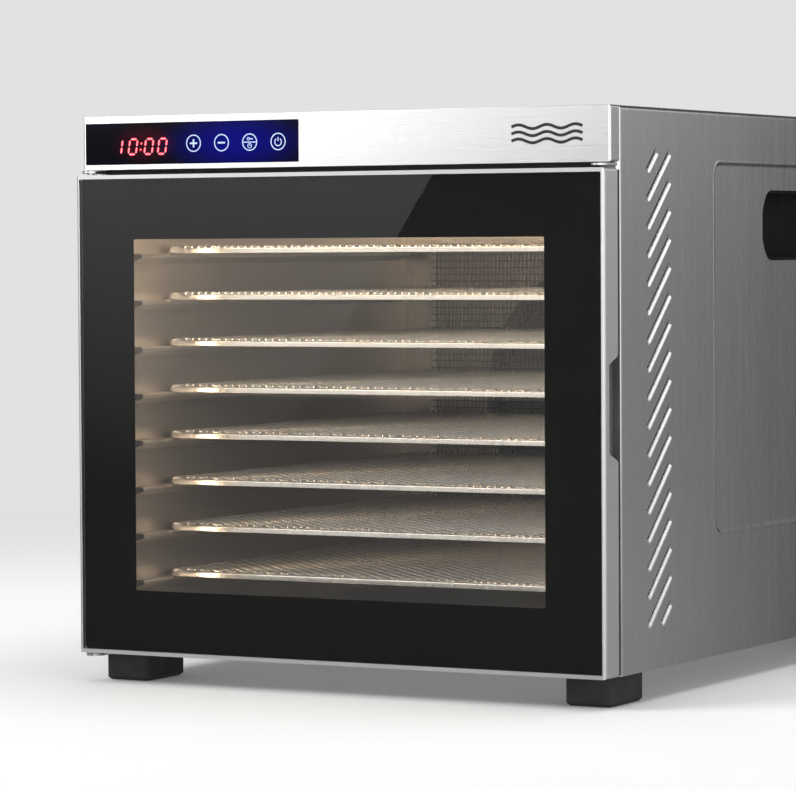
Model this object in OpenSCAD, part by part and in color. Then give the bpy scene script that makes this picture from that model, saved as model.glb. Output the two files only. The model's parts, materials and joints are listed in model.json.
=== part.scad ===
// Eight-tray food dehydrator with a left-hung glass door and a rear fan.
// X runs to the right, -Y is the front, +Z is up. The origin is on the floor, under the middle of the box.

/* [Cabinet] */
// Width of the cabinet and the door
body_w = 345; // [340:1:350]
// Depth from the door's face to the rear hood
body_d = 450; // [446:1:460]
// Height from the floor to the top
body_h = 333; // [332:1:338]
// Height of the feet
foot_h = 17.5; // [16.5:0.5:20]
// Thickness of the sheet metal
sheet = 1; // [0.9:0.1:1.1]
// Radius of the long folds of the cover
fold_r = 2.5; // [2:0.5:3]
// Radius of the cover's front folds
hem_r = 3; // [2.5:0.5:3.5]

/* [Door] */
// Height of the door
door_h = 281; // [280:1:282]
// Thickness of the door
door_t = 16.5; // [16:0.5:17]
// Gap between the door and the cabinet
door_gap = 2.5; // [2.4:0.1:3]
// Gap between the door and the control fascia
fascia_gap = 3.2; // [3.2:0.1:3.6]
// Thickness of the door glass
glass_t = 4; // [3.8:0.1:4.1]
// Radius of the hinge pins
pin_r = 2; // [1.8:0.1:2]
// Length of the finger notch
notch_l = 60; // [50:1:70]

/* [Control panel] */
// How far the fascia's face lies behind the door's face
fascia_set = 8; // [7:0.5:9]
// Width of the display glass
display_w = 145; // [140:1:150]
// Height of the display glass
display_h = 24.2; // [23:0.2:25]
// Distance between the touch keys
key_pitch = 19; // [18:0.5:20]

/* [Chamber] */
// Width of the drying chamber
chamber_w = 304; // [303:1:306]
// Height of the chamber's floor above the ground
chamber_z0 = 32; // [31:0.5:34]
// Height of the chamber's ceiling above the ground
chamber_z1 = 284; // [282:0.5:285]
// Depth of the room behind the chamber
rear_room = 75; // [74:1:76]

/* [Trays] */
// Number of trays
tray_count = 8; // [8:1:8]
// Distance from tray to tray
tray_pitch = 27.6; // [26:0.1:27.6]
// Height of the lowest tray's underside above the ground
tray_z0 = 59.3; // [58:0.1:61]
// Width of a tray
tray_w = 299; // [297:1:300]
// Depth of a tray
tray_d = 303; // [298:1:308]
// Height of a tray's rim
rim_h = 3; // [2.5:0.5:5]

/* [Fan] */
// Radius of the impeller
fan_r = 70; // [60:1:72]
// Number of blades
blade_count = 6; // [4:1:8]
// Radius of the heating element's ring
heater_r = 84; // [80:1:86]

/* [Hidden] */
$fn = 64;
tray_names = [for (i = [1:tray_count]) str("tray_frame_", i)];
mesh_names = [for (i = [1:tray_count]) str("tray_mesh_", i)];

// stations from front to back
half_w = body_w / 2;
front_y = -body_d / 2;
door_back_y = front_y + door_t;
hem_y = door_back_y + door_gap;
fascia_y = front_y + fascia_set;
hood_t = 10;
back_y = body_d / 2 - hood_t;
bulkhead_y = back_y - rear_room;

// levels from the bottom to the top
case_z0 = foot_h;
door_z1 = case_z0 + door_h;
fascia_z0 = door_z1 + fascia_gap;
bay_z0 = chamber_z1 + sheet;

// cover
flange_w = 6;
rear_flange_w = 12;
frame_y = hem_y + sheet;
emboss_y = [-80, 174];
emboss_z = [88.5, 303.5];
emboss_r = 8;
emboss_t = 0.8;
slot_count = 16;
slot_w = 4.4;
slot_run = 28;
slot_rise = 25.2;
slot_pitch = 15.93;
slot_y0 = hem_y + 36.5;
slot_z0 = case_z0 + 25.6;
slot_z1 = body_h - 25.2;
handle_y = (emboss_y[0] + emboss_y[1]) / 2;
handle_z = 267.2;
handle_w = 114;
handle_h = 41.8;
handle_arc = 27;
handle_r = 14;
cup_depth = 15.5;

// control panel
glass_x0 = -half_w + 2.1;
display_z = (fascia_z0 + body_h) / 2 - 0.6;
digit_x = -129.8;
key_x0 = -95.7;
key_r = 5;
board_t = 1.6;

// chamber
chamber_x = chamber_w / 2;
wall_x = chamber_x + sheet;
rail_x = 142;
rail_y = [-200, 130];
rail_drop = 0.2;
tray_back_y = bulkhead_y - 6;
probe = [100, 272];
tray_r = 15;
tray_flange = 7;
flange_t = 1;
rim_t = 1.2;
mesh_t = 0.5;

// fan
fan_z = (chamber_z0 + chamber_z1) / 2;
fan_y = bulkhead_y + 15;
fan_hole_r = 90;
shaft_r = 3;
bush_gap = 0.05;
mount_y = bulkhead_y + 34.5;
motor_y = mount_y + 6;
guard_w = 266;
guard_h = 206;
guard_bar = 1.6;
guard_pitch = 19;

// rear: X and Z of the inlet and of the screws
hood_w = 190;
inlet = [-118, 52];
outer_screws = [for (x = [-1, 1], z = [45, 175, 305]) [x * (half_w - 7), z],
                for (x = [-90, 0, 90]) [x, body_h - 7]];
hood_screws = [for (x = [-1, 1], z = [-1, 1]) [x * (hood_w / 2 + 5), fan_z + z * (hood_w / 2 - 15)]];
inlet_screws = [for (x = [-20, 20]) inlet + [x, 0]];
screw_r = 1.5;

// door
lip_w = 2.3;
wall_t = 1.2;
glass_x = half_w - lip_w;
glass_z = [case_z0 + lip_w, door_z1 - lip_w];
glass_front_y = front_y + 0.3;
glass_back_y = glass_front_y + glass_t;
pivot_x = -half_w + 6;
pivot_y = front_y + 7;
pin_play = 0.05;
notch_z = [136, 136 + notch_l];
notch_x = 160;
notch_front_y = glass_back_y + 1;
window_z = [30, 286];
gasket_w = 5;
gasket_t = 3.15;
magnet_z = [72, 248];
bracket_t = 1.5;
bracket_z = fascia_z0 - 2.1;

// feet
foot_x = 152;
foot_y = [-185, 185];
foot_size = [29, 42];

steel = "silver";
dark = [0.12, 0.12, 0.13];
zinc = [0.75, 0.76, 0.78];

// ---- helpers ----

// box between two corners, given as ranges
module slab(x, y, z) {
    translate([x[0], y[0], z[0]]) cube([x[1] - x[0], y[1] - y[0], z[1] - z[0]]);
}

// rectangle between two corners with round corners
module round_rect(x, y, r) {
    translate([x[0] + r, y[0]]) square([x[1] - x[0] - 2 * r, y[1] - y[0]]);
    translate([x[0], y[0] + r]) square([x[1] - x[0], y[1] - y[0] - 2 * r]);
    for (cx = [x[0] + r, x[1] - r], cy = [y[0] + r, y[1] - r]) translate([cx, cy]) circle(r);
}

// extrudes an outline drawn in X and Z along Y
module along_y(y0, y1) {
    translate([0, y1, 0]) rotate([90, 0, 0]) linear_extrude(y1 - y0) children();
}

// extrudes an outline drawn in Y and Z along X
module along_x(x0, x1) {
    translate([x0, 0, 0]) rotate([90, 0, 90]) linear_extrude(x1 - x0) children();
}

// flat ring in an X-Z plane, from one rounded rectangle to another
module frame_xz(y, out_x, out_z, out_r, in_x, in_z, in_r) {
    along_y(y[0], y[1]) difference() {
        round_rect([-out_x, out_x], out_z, out_r);
        round_rect([-in_x, in_x], in_z, in_r);
    }
}

// box whose front edges and top side edges are rounded; it is cut square at the back
module folded_box(x, y, z, front_r, top_r) {
    intersection() {
        translate([0, 0, z[0]]) linear_extrude(z[1] - z[0])
            round_rect([-x, x], [y[0], y[1] + front_r * 2], front_r);
        along_y(y[0], y[1]) round_rect([-x, x], z, top_r);
    }
}

// slot with round ends between two points of a plane
module slot_2d(a, b, w) {
    d = b - a;
    translate(a) rotate(atan2(d[1], d[0])) translate([0, -w / 2]) square([norm(d), w]);
    translate(a) circle(w / 2);
    translate(b) circle(w / 2);
}

// round bar between two points
module bar(a, b, r) {
    d = b - a;
    translate(a) rotate([0, acos(d[2] / norm(d)), atan2(d[1], d[0])]) cylinder(h = norm(d), r = r);
}

// wire through a list of points, with a slightly thicker sleeve at each bend
module wire(points, r) {
    $fn = 24;
    for (i = [0:len(points) - 2]) bar(points[i], points[i + 1], r);
    for (i = [1:len(points) - 2]) translate(points[i]) sphere(1.25 * r);
}

module both_sides() {
    children();
    mirror([1, 0, 0]) children();
}

// ---- casing ----

// slanted air slots of one side, in Y and Z; the first and the last one are cut short
module air_slots_2d() {
    for (i = [-1:slot_count]) {
        z = slot_z0 + i * slot_pitch;
        from = max(0, (slot_z0 - z) / slot_rise);
        to = min(1, (slot_z1 - z) / slot_rise);
        translate([slot_y0 + from * slot_run, z + from * slot_rise])
            rotate(atan2(slot_rise, slot_run)) translate([-slot_w / 4, -slot_w / 2])
            square([(to - from) * norm([slot_run, slot_rise]) + slot_w / 2, slot_w]);
    }
}

// outline of the grip opening, flat above and below with bulging ends and round corners
module handle_2d(grow = 0) {
    w = handle_w / 2 - 1 + grow;
    h = handle_h / 2 + grow;
    r = handle_arc + grow;
    centre = handle_w / 2 - handle_arc;
    intersection() {
        round_rect([-w, w], [-h, h], handle_r + grow);
        union() {
            square([2 * centre, 2 * r], center = true);
            for (s = [-1, 1]) translate([s * centre, 0]) circle(r);
        }
    }
}

module outer_cover() color(steel) difference() {
    union() {
        difference() {
            folded_box(half_w, [hem_y, back_y - sheet], [case_z0 - 20, body_h], hem_r, fold_r);
            folded_box(half_w - sheet, [hem_y + sheet, back_y + 50], [case_z0 - 30, body_h - sheet],
                       hem_r - sheet, fold_r - sheet);
            slab([-half_w, half_w] * 2, [hem_y - 50, back_y + 50], [case_z0 - 60, case_z0]);
            slab([flange_w - half_w, half_w - flange_w], [hem_y - 5, hem_y + 5], [0, body_h - flange_w]);
        }
        // turned-in rear edge that takes the screws
        along_y(back_y - 2 * sheet, back_y - sheet) difference() {
            translate([-half_w + sheet / 2, case_z0])
                square([body_w - sheet, body_h - case_z0 - sheet / 2]);
            translate([rear_flange_w - half_w, 0])
                square([body_w - 2 * rear_flange_w, body_h - rear_flange_w]);
        }
        // backing of the sunk panel on each side
        both_sides() along_x(half_w - sheet - emboss_t, half_w - sheet / 2)
            round_rect(emboss_y + [-sheet, sheet], emboss_z + [-sheet, sheet], emboss_r + sheet);
    }
    both_sides() {
        along_x(half_w - emboss_t, half_w + 5) round_rect(emboss_y, emboss_z, emboss_r);
        along_x(half_w - 5, half_w + 5) air_slots_2d();
        along_x(half_w - 5, half_w + 5) translate([handle_y, handle_z]) handle_2d();
    }
    screw_holes(outer_screws, back_y - 5);
}

module base_pan() color(steel) difference() {
    union() {
        slab([sheet - half_w, half_w - sheet], [frame_y, back_y - 2 * sheet], [case_z0, case_z0 + sheet]);
        both_sides() slab([half_w - 2 * sheet, half_w - sheet], [frame_y + sheet, back_y - 2 * sheet],
                          [case_z0, case_z0 + 12]);
        slab([flange_w - half_w, half_w - flange_w], [hem_y, frame_y], [case_z0, case_z0 + flange_w]);
        slab([flange_w - half_w, half_w - flange_w], [hem_y, frame_y + sheet], [case_z0, case_z0 + sheet]);
    }
    // breather slots under the rear room
    for (i = [0:7]) slab([-63 + i * 18, -57 + i * 18], [155, 200], [case_z0 - 1, case_z0 + 5]);
}

module screw_holes(places, y) {
    for (p = places) along_y(y - 20, y + 20) translate(p) circle(screw_r + 0.1);
}

module screws(places, y) {
    for (p = places) {
        along_y(y - 6, y) translate(p) circle(screw_r);
        difference() {
            along_y(y, y + 1.8) translate(p) circle(3.2);
            along_y(y + 1, y + 5) translate(p) square([4, 0.9], center = true);
            along_y(y + 1, y + 5) translate(p) square([0.9, 4], center = true);
        }
    }
}

module case_screws() color(zinc) {
    screws(outer_screws, back_y);
    screws(hood_screws, back_y + sheet);
    screws(inlet_screws, back_y + 2.5);
}

module rear_cover() color(steel) difference() {
    along_y(back_y - sheet, back_y) round_rect([-half_w, half_w], [case_z0, body_h], fold_r);
    // air inlet behind the motor
    for (i = [-5:5]) {
        h = sqrt(pow(80, 2) - pow(i * 14, 2));
        along_y(back_y - 5, back_y + 5) slot_2d([i * 14, fan_z - h], [i * 14, fan_z + h], 6);
    }
    // breather slots of the electronics
    for (i = [0:9]) along_y(back_y - 5, back_y + 5)
        slot_2d([-54 + i * 12, 300], [-54 + i * 12, 314], 3.5);
    along_y(back_y - 5, back_y + 5) translate(inlet) square([28, 20], center = true);
    screw_holes(outer_screws, back_y);
    screw_holes(hood_screws, back_y);
    screw_holes(inlet_screws, back_y);
}

module rear_vent_hood() color(steel) {
    h = hood_w / 2;
    difference() {
        along_y(back_y, back_y + hood_t) round_rect([-h, h], [fan_z - h, fan_z + h], 6);
        along_y(back_y - 1, back_y + hood_t - sheet)
            round_rect([sheet - h, h - sheet], [fan_z - h + sheet, fan_z + h - sheet], 5);
        for (x = [-45, 45], i = [-5:5]) along_y(back_y, back_y + hood_t + 5)
            slot_2d([x - 32, fan_z + i * 14], [x + 32, fan_z + i * 14], 4);
    }
    // ears for the screws
    difference() {
        for (p = hood_screws) along_y(back_y, back_y + sheet) translate(p) {
            circle(6);
            square([12, 12], center = true);
        }
        along_y(back_y - 1, back_y + 5) square([2 * h - 2, 4 * body_h], center = true);
        screw_holes(hood_screws, back_y);
    }
}

module front_frame() color(steel) difference() {
    x = half_w - hem_r;
    union() {
        slab([-x, x], [frame_y, frame_y + sheet], [case_z0 + sheet, body_h - sheet]);
        both_sides() slab([x - sheet, x], [frame_y, frame_y + 10], [case_z0 + 13, body_h - sheet]);
    }
    slab([-chamber_x, chamber_x], [frame_y - 5, frame_y + 5], [chamber_z0, chamber_z1]);
    slab([-130, -60], [frame_y - 5, frame_y + 5], [310, 325]);
}

// ---- control panel ----

module control_fascia() color(steel) difference() {
    union() {
        difference() {
            folded_box(half_w, [fascia_y, hem_y], [fascia_z0, body_h], 1.5, 1.5);
            slab([sheet - half_w, half_w - sheet], [fascia_y + sheet, hem_y + 5],
                 [fascia_z0 + sheet, body_h - sheet]);
        }
        // bosses that carry the fascia on the front frame
        for (x = [20, 140], z = [fascia_z0 + 7, body_h - 10.5])
            along_y(fascia_y + sheet / 2, frame_y) translate([x, z]) circle(3.5);
    }
    slab([glass_x0, glass_x0 + display_w], [fascia_y - 5, fascia_y + 5],
         [display_z - display_h / 2, display_z + display_h / 2]);
    both_sides() slab([half_w - 11.5, half_w - 0.5], [hem_y - 2.2, hem_y + 5], [fascia_z0 - 1, fascia_z0 + 11]);
}

module display_glass() color([0.02, 0.02, 0.05]) {
    slab([glass_x0, glass_x0 + display_w], [fascia_y - 0.3, fascia_y + sheet],
         [display_z - display_h / 2, display_z + display_h / 2]);
    slab([sheet - half_w, glass_x0 + display_w + 2], [fascia_y + sheet, fascia_y + 2.2],
         [fascia_z0 + sheet, body_h - sheet]);
}

module led_display() color([0.7, 0.1, 0.1])
    slab([digit_x - 22, digit_x + 22], [fascia_y + 2.2, fascia_y + 8], [display_z - 7, display_z + 7]);

module touch_pads() color([0.8, 0.8, 0.75]) for (i = [0:3])
    along_y(fascia_y + 2.2, fascia_y + 8) translate([key_x0 + i * key_pitch, display_z]) circle(key_r);

module control_board() color("darkgreen") {
    slab([-160, -22], [fascia_y + 8, fascia_y + 8 + board_t], [display_z - 10, display_z + 10]);
    slab([-110, -96], [fascia_y + 8 + board_t, fascia_y + 12], [display_z - 5, display_z + 5]);
}

module power_board() color("darkgreen") {
    z = bay_z0 + 12;
    slab([-40, 60], [20, 100], [z, z + board_t]);
    for (x = [-34, 54], y = [26, 94]) translate([x, y, bay_z0]) cylinder(h = 12, r = 3);
    slab([-30, -2], [30, 52], [z + board_t, z + 20]);
    slab([-25, -15], [56, 64], [z + board_t, z + board_t + 8]);
    slab([8, 27], [28, 44], [z + board_t, z + 17]);
    translate([42, 40, z + board_t]) cylinder(h = 20, r = 8);
    slab([-30, 50], [86, 97], [z + board_t, z + 10]);
}

// ---- drying chamber ----

function tray_z(i) = tray_z0 + (i - 1) * tray_pitch;

// one pressed rail, hollow from the outside, on the right wall
module rail(z) {
    x0 = chamber_x + sheet / 2;
    difference() {
        along_y(rail_y[0], rail_y[1]) polygon([[x0, z], [rail_x + 1, z], [rail_x, z - 1],
                                               [rail_x, z - 2.5], [x0, z - 6]]);
        along_y(rail_y[0] + sheet, rail_y[1] - sheet)
            polygon([[x0 + 1, z - 1], [rail_x + 1.5, z - 1], [rail_x + 1.5, z - 1.6], [x0 + 1, z - 5]]);
    }
}

module chamber_wall() difference() {
    union() {
        slab([chamber_x, wall_x], [frame_y + sheet, bulkhead_y], [chamber_z0 - sheet, bay_z0]);
        for (i = [1:tray_count]) rail(tray_z(i) - rail_drop);
    }
    for (i = [1:tray_count]) {
        z = tray_z(i) - rail_drop;
        slab([chamber_x - 0.5, wall_x + 1], [rail_y[0] + sheet, rail_y[1] - sheet], [z - 4.4, z - 1]);
    }
}

module chamber_right_wall() color(steel) chamber_wall();

module chamber_left_wall() color(steel) mirror([1, 0, 0]) chamber_wall();

module chamber_ceiling() color(steel)
    slab([-chamber_x, chamber_x], [frame_y + sheet, bulkhead_y], [chamber_z1, bay_z0]);

module chamber_floor() color(steel)
    slab([-chamber_x, chamber_x], [frame_y + sheet, bulkhead_y], [chamber_z0 - sheet, chamber_z0]);

module chamber_back() color(steel) difference() {
    slab([2 * sheet - half_w, half_w - 2 * sheet], [bulkhead_y, bulkhead_y + sheet],
         [case_z0 + sheet, body_h - sheet]);
    along_y(bulkhead_y - 5, bulkhead_y + 5) {
        translate([0, fan_z]) circle(fan_hole_r);
        for (i = [-2:2]) slot_2d([i * 50 - 18, chamber_z0 + 11], [i * 50 + 18, chamber_z0 + 11], 5);
        translate(probe) circle(2);
        translate([60, 308]) circle(8);
    }
}

function bar_z(i) = fan_z + i * 0.95 * guard_pitch;

module fan_guard() color(zinc) {
    x = guard_w / 2;
    z = guard_h / 2;
    frame_xz([bulkhead_y - guard_bar, bulkhead_y], x, [fan_z - z, fan_z + z], 10,
             x - 5, [fan_z - z + 5, fan_z + z - 5], 5);
    for (i = [-6:6]) slab([i * guard_pitch - guard_bar / 2, i * guard_pitch + guard_bar / 2],
                          [bulkhead_y - guard_bar, bulkhead_y], [fan_z - z + 4, fan_z + z - 4]);
    for (i = [-5:5]) slab([4 - x, x - 4], [bulkhead_y - 2 * guard_bar + 0.2, bulkhead_y - guard_bar + 0.2],
                          [bar_z(i) - guard_bar / 2, bar_z(i) + guard_bar / 2]);
}

module temperature_probe() color(zinc) {
    along_y(bulkhead_y - 22, bulkhead_y + sheet) translate(probe) circle(2);
    along_y(bulkhead_y + sheet, bulkhead_y + 3) translate(probe) circle(6);
}

module thermal_cutout() color(dark) translate([-112, 0, 256]) {
    along_y(bulkhead_y + sheet, bulkhead_y + 7) circle(8);
    for (x = [-4, 4]) slab([x - 1.5, x + 1.5], [bulkhead_y + 7, bulkhead_y + 13], [-0.4, 0.4]);
}

// ---- fan and heater ----

module heating_element() color([0.45, 0.42, 0.4]) {
    y = bulkhead_y + 10;
    tube_r = 3.2;
    translate([0, y, fan_z]) rotate([90, 0, 0]) rotate_extrude($fn = 96)
        translate([heater_r, 0]) circle(tube_r, $fn = 32);
    for (x = [-9, 9]) along_y(y, y + 22) translate([x, fan_z + heater_r - 1]) circle(tube_r);
    for (a = [30, 150, 270]) translate([0, 0, fan_z]) rotate([0, -a, 0])
        slab([heater_r - 2, heater_r + 14], [bulkhead_y + sheet, y], [-4, 4]);
}

module fan_impeller() color(zinc) translate([0, fan_y, fan_z]) difference() {
    union() {
        along_y(-9, 9) circle(14);
        for (i = [0:blade_count - 1]) rotate([0, i * 360 / blade_count, 0]) rotate([32, 0, 0])
            translate([10, -0.6, -16]) cube([fan_r - 13, 1.2, 32]);
    }
    along_y(-20, 20) circle(shaft_r);
}

module motor_shaft() color(zinc) along_y(fan_y - 12, motor_y + 28) translate([0, fan_z]) circle(shaft_r);

module fan_motor() color([0.5, 0.5, 0.55]) difference() {
    union() {
        slab([-30, 30], [motor_y, motor_y + 20], [fan_z - 27, fan_z + 27]);
        slab([-34, -12], [motor_y - 2, motor_y + 22], [fan_z - 11, fan_z + 11]);
        along_y(motor_y - 6 + 1.5, motor_y + 26) translate([0, fan_z]) circle(12);
    }
    along_y(0, 300) translate([0, fan_z]) circle(shaft_r + bush_gap);
}

module motor_mount() color(zinc) difference() {
    union() {
        slab([-112, 112], [mount_y, mount_y + 1.5], [fan_z - 20, fan_z + 20]);
        both_sides() {
            slab([110.5, 112], [bulkhead_y + sheet, mount_y + 1.5], [fan_z - 20, fan_z + 20]);
            slab([110.5, 124], [bulkhead_y + sheet, bulkhead_y + 2.5], [fan_z - 20, fan_z + 20]);
            for (z = [-14, 14]) along_y(mount_y + 1, motor_y) translate([24, fan_z + z]) circle(2.5);
        }
    }
    along_y(0, 300) translate([0, fan_z]) circle(5);
    both_sides() along_y(0, 300) slot_2d([112, fan_z - 12], [112, fan_z + 12], 5);
}

module mains_inlet() color(dark) difference() {
    y = back_y + 2.5;
    union() {
        along_y(back_y, y) translate(inlet) round_rect([-25, 25], [-12, 12], 4);
        along_y(back_y - 22, y) translate(inlet) square([28, 20], center = true);
    }
    difference() {
        along_y(y - 17, y + 5) translate(inlet) round_rect([-12, 12], [-8, 8], 3);
        for (p = [[-7, 2], [0, 5], [7, 2]]) along_y(y - 18, y - 3) translate(inlet + p)
            square([2, 4], center = true);
    }
    screw_holes(inlet_screws, back_y);
}

module wiring_harness() color([0.15, 0.15, 0.15]) {
    board_z = bay_z0 + 12 + board_t;
    // from the inlet up to the power board
    wire([[inlet[0], back_y - 22, inlet[1]], [inlet[0], back_y - 30, inlet[1]],
          [-145, back_y - 30, 80], [-145, back_y - 30, 300], [60, back_y - 40, 308],
          [60, 112, 308], [50, 91, board_z + 16], [50, 91, board_z + 8.4]], 2.2);
    // from the power board to the control board
    wire([[-20, 60, board_z + 8], [-20, 60, 321], [-103, -120, 321], [-103, fascia_y + 12, display_z]], 2);
}

// ---- grips and feet ----

module handle_cup() {
    x1 = half_w - sheet - emboss_t;
    x0 = x1 - cup_depth;
    translate([0, handle_y, handle_z]) difference() {
        union() {
            along_x(x0, x1) handle_2d(-0.2);
            along_x(x1 - 1.5, x1) square([handle_w + 12, handle_h + 12], center = true);
        }
        along_x(x0 + 1.5, x1 + 5) handle_2d(-1.8);
    }
}

module handle_cup_right() color(dark) handle_cup();

module handle_cup_left() color(dark) mirror([1, 0, 0]) handle_cup();

// rubber foot with chamfered lower edges, centred on x and y
module foot(x, y) color(dark) translate([x, y, 0]) difference() {
    w = foot_size[0] / 2;
    d = foot_size[1] / 2;
    linear_extrude(foot_h) round_rect([-w, w], [-d, d], 3);
    for (s = [-1, 1]) {
        translate([s * w, 0, 0]) rotate([0, 45, 0]) cube([3, 100, 3], center = true);
        translate([0, s * d, 0]) rotate([45, 0, 0]) cube([100, 3, 3], center = true);
    }
}

// ---- door ----

// opening for the fingers in the door's right side, in Y and Z; its ends are soft S curves
module notch_2d(grow = 0) {
    run = door_back_y - notch_front_y;
    curve = [for (i = [0:8]) [notch_front_y + run * (1 + cos(i * 22.5)) / 2 - grow * i / 8, 6.5 * i / 8 - grow]];
    low = [for (p = curve) [p[0], notch_z[0] + p[1]]];
    high = [for (i = [8:-1:0]) [curve[i][0], notch_z[1] - curve[i][1]]];
    polygon(concat([[door_back_y + 1, notch_z[0] - grow]], low, high,
                   [[door_back_y + 1, notch_z[1] + grow]]));
}

module door_frame() color(steel) difference() {
    union() {
        difference() {
            folded_box(half_w, [front_y, door_back_y], [case_z0, door_z1], 2, 2);
            slab([-glass_x, glass_x], [front_y - 5, glass_back_y], glass_z);
            slab([wall_t - half_w, half_w - wall_t], [glass_back_y, door_back_y + 5],
                 [case_z0 + wall_t, door_z1 - wall_t]);
        }
        // ledge that the glass is bonded to
        frame_xz([glass_back_y, glass_back_y + 1], half_w - 1, [case_z0 + 1, door_z1 - 1], 1,
                 half_w - 9, [case_z0 + 7, door_z1 - 7], 2);
        // bearing blocks of the hinge pins
        for (z = [[case_z0 + 1, case_z0 + 12.5], [door_z1 - 12.5, door_z1 - 1]])
            slab([1 - half_w, 11.5 - half_w], [glass_back_y, glass_back_y + 8], z);
        // lining of the finger notch
        along_x(notch_x - 1.2, half_w) notch_2d(1);
    }
    along_x(notch_x, half_w + 5) notch_2d();
    slab([notch_x - 10, half_w + 5], [door_back_y, door_back_y + 5], [0, body_h]);
    translate([pivot_x, pivot_y, 0]) cylinder(h = body_h, r = pin_r + pin_play);
}

module door_glass() color([0.05, 0.05, 0.05])
    slab([-glass_x, glass_x], [glass_front_y, glass_back_y], glass_z);

module glass_retainer() color(dark) difference() {
    x = half_w - wall_t;
    union() {
        // rear plate and the return round the opening
        frame_xz([door_back_y - 1.5, door_back_y], x, [case_z0 + wall_t, door_z1 - wall_t], 1,
                 chamber_x, window_z, 3);
        frame_xz([glass_back_y, door_back_y], chamber_x + 1.5, window_z + [-1.5, 1.5], 4.5,
                 chamber_x, window_z, 3);
    }
    along_x(notch_x - 1.2, half_w + 5) notch_2d(1);
}

module door_gasket() color([0.25, 0.25, 0.26]) {
    x = chamber_x + 1.5;
    frame_xz([door_back_y, door_back_y + gasket_t], x + gasket_w,
             window_z + [-gasket_w, gasket_w], 3 + gasket_w, x, window_z, 3);
}

module door_magnets() color([0.3, 0.3, 0.3]) for (z = magnet_z)
    slab([160, 169], [door_back_y - 5.5, door_back_y - 1.5], [z - 13, z + 13]);

module magnet_catches() color(zinc) for (z = magnet_z)
    slab([159.5, 166.3], [frame_y - 0.8, frame_y], [z - 14, z + 14]);

// ear that holds a hinge pin, seen from above, on the left
module bracket_2d(back) {
    translate([pivot_x, pivot_y]) circle(5);
    translate([pivot_x - 5, pivot_y]) square([10, back - pivot_y]);
}

module upper_bracket() {
    translate([0, 0, bracket_z]) linear_extrude(bracket_t) difference() {
        bracket_2d(hem_y);
        translate([pivot_x, pivot_y]) circle(pin_r);
    }
    slab([pivot_x - 5, pivot_x + 5], [hem_y - 2, hem_y], [bracket_z, bracket_z + 12]);
}

module hinge_bracket_upper() color(zinc) upper_bracket();

module spare_bracket_upper() color(zinc) mirror([1, 0, 0]) upper_bracket();

module hinge_bracket_lower() color(zinc) {
    z = case_z0 - 0.8 - bracket_t;
    x = [pivot_x - 5, pivot_x - 0.8];
    translate([0, 0, z]) linear_extrude(bracket_t) difference() {
        union() {
            bracket_2d(hem_y - 0.5);
            // narrow tail beside the foot
            translate([x[0], pivot_y]) square([x[1] - x[0], hem_y + 5 - pivot_y]);
        }
        translate([pivot_x, pivot_y]) circle(pin_r);
    }
    slab(x, [hem_y + 0.5, hem_y + 5], [z, case_z0]);
}

module hinge_pin(z0, z1) color(zinc) translate([pivot_x, pivot_y, z0]) cylinder(h = z1 - z0, r = pin_r);

module hinge_pin_upper() hinge_pin(door_z1 - 12, bracket_z + bracket_t);

module hinge_pin_lower() hinge_pin(case_z0 - 0.8 - bracket_t, case_z0 + 12);

// ---- trays ----

module tray_frame(i) color(zinc) {
    w = tray_w / 2;
    y = [tray_back_y - tray_d, tray_back_y];
    translate([0, 0, tray_z(i)]) {
        linear_extrude(rim_h) difference() {
            round_rect([-w, w], y, tray_r);
            round_rect([rim_t - w, w - rim_t], y + [rim_t, -rim_t], tray_r - rim_t);
        }
        translate([0, 0, rim_h - flange_t]) linear_extrude(flange_t) difference() {
            round_rect([-w, w], y, tray_r);
            round_rect([tray_flange - w, w - tray_flange], y + [tray_flange, -tray_flange],
                       tray_r - tray_flange);
        }
    }
}

module tray_mesh(i) color([0.85, 0.85, 0.88]) translate([0, 0, tray_z(i) + rim_h]) linear_extrude(mesh_t)
    round_rect([rim_t - tray_w / 2, tray_w / 2 - rim_t],
               [tray_back_y - tray_d + rim_t, tray_back_y - rim_t], tray_r - rim_t);

// ---- every node ----

outer_cover();
base_pan();
rear_cover();
rear_vent_hood();
control_fascia();
display_glass();
led_display();
touch_pads();
control_board();
power_board();
front_frame();
chamber_left_wall();
chamber_right_wall();
chamber_ceiling();
chamber_floor();
chamber_back();
fan_guard();
heating_element();
fan_impeller();
motor_shaft();
fan_motor();
motor_mount();
temperature_probe();
thermal_cutout();
mains_inlet();
wiring_harness();
handle_cup_left();
handle_cup_right();
foot(-foot_x, foot_y[0]);  // foot_front_left
foot(foot_x, foot_y[0]);  // foot_front_right
foot(-foot_x, foot_y[1]);  // foot_rear_left
foot(foot_x, foot_y[1]);  // foot_rear_right
case_screws();
door_frame();
door_glass();
glass_retainer();
door_gasket();
door_magnets();
magnet_catches();
hinge_pin_upper();
hinge_pin_lower();
hinge_bracket_upper();
hinge_bracket_lower();
spare_bracket_upper();
for (i = [1:tray_count]) {
    tray_frame(i);
    tray_mesh(i);
}
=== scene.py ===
"""The food dehydrator's looks: materials, fine pieces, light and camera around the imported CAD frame.

Everything is in metres in the frame's axes: X to the right, -Y to the front, +Z up.
"""
import json
import math

import bmesh
import bpy
from mathutils import Matrix, Vector

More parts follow.
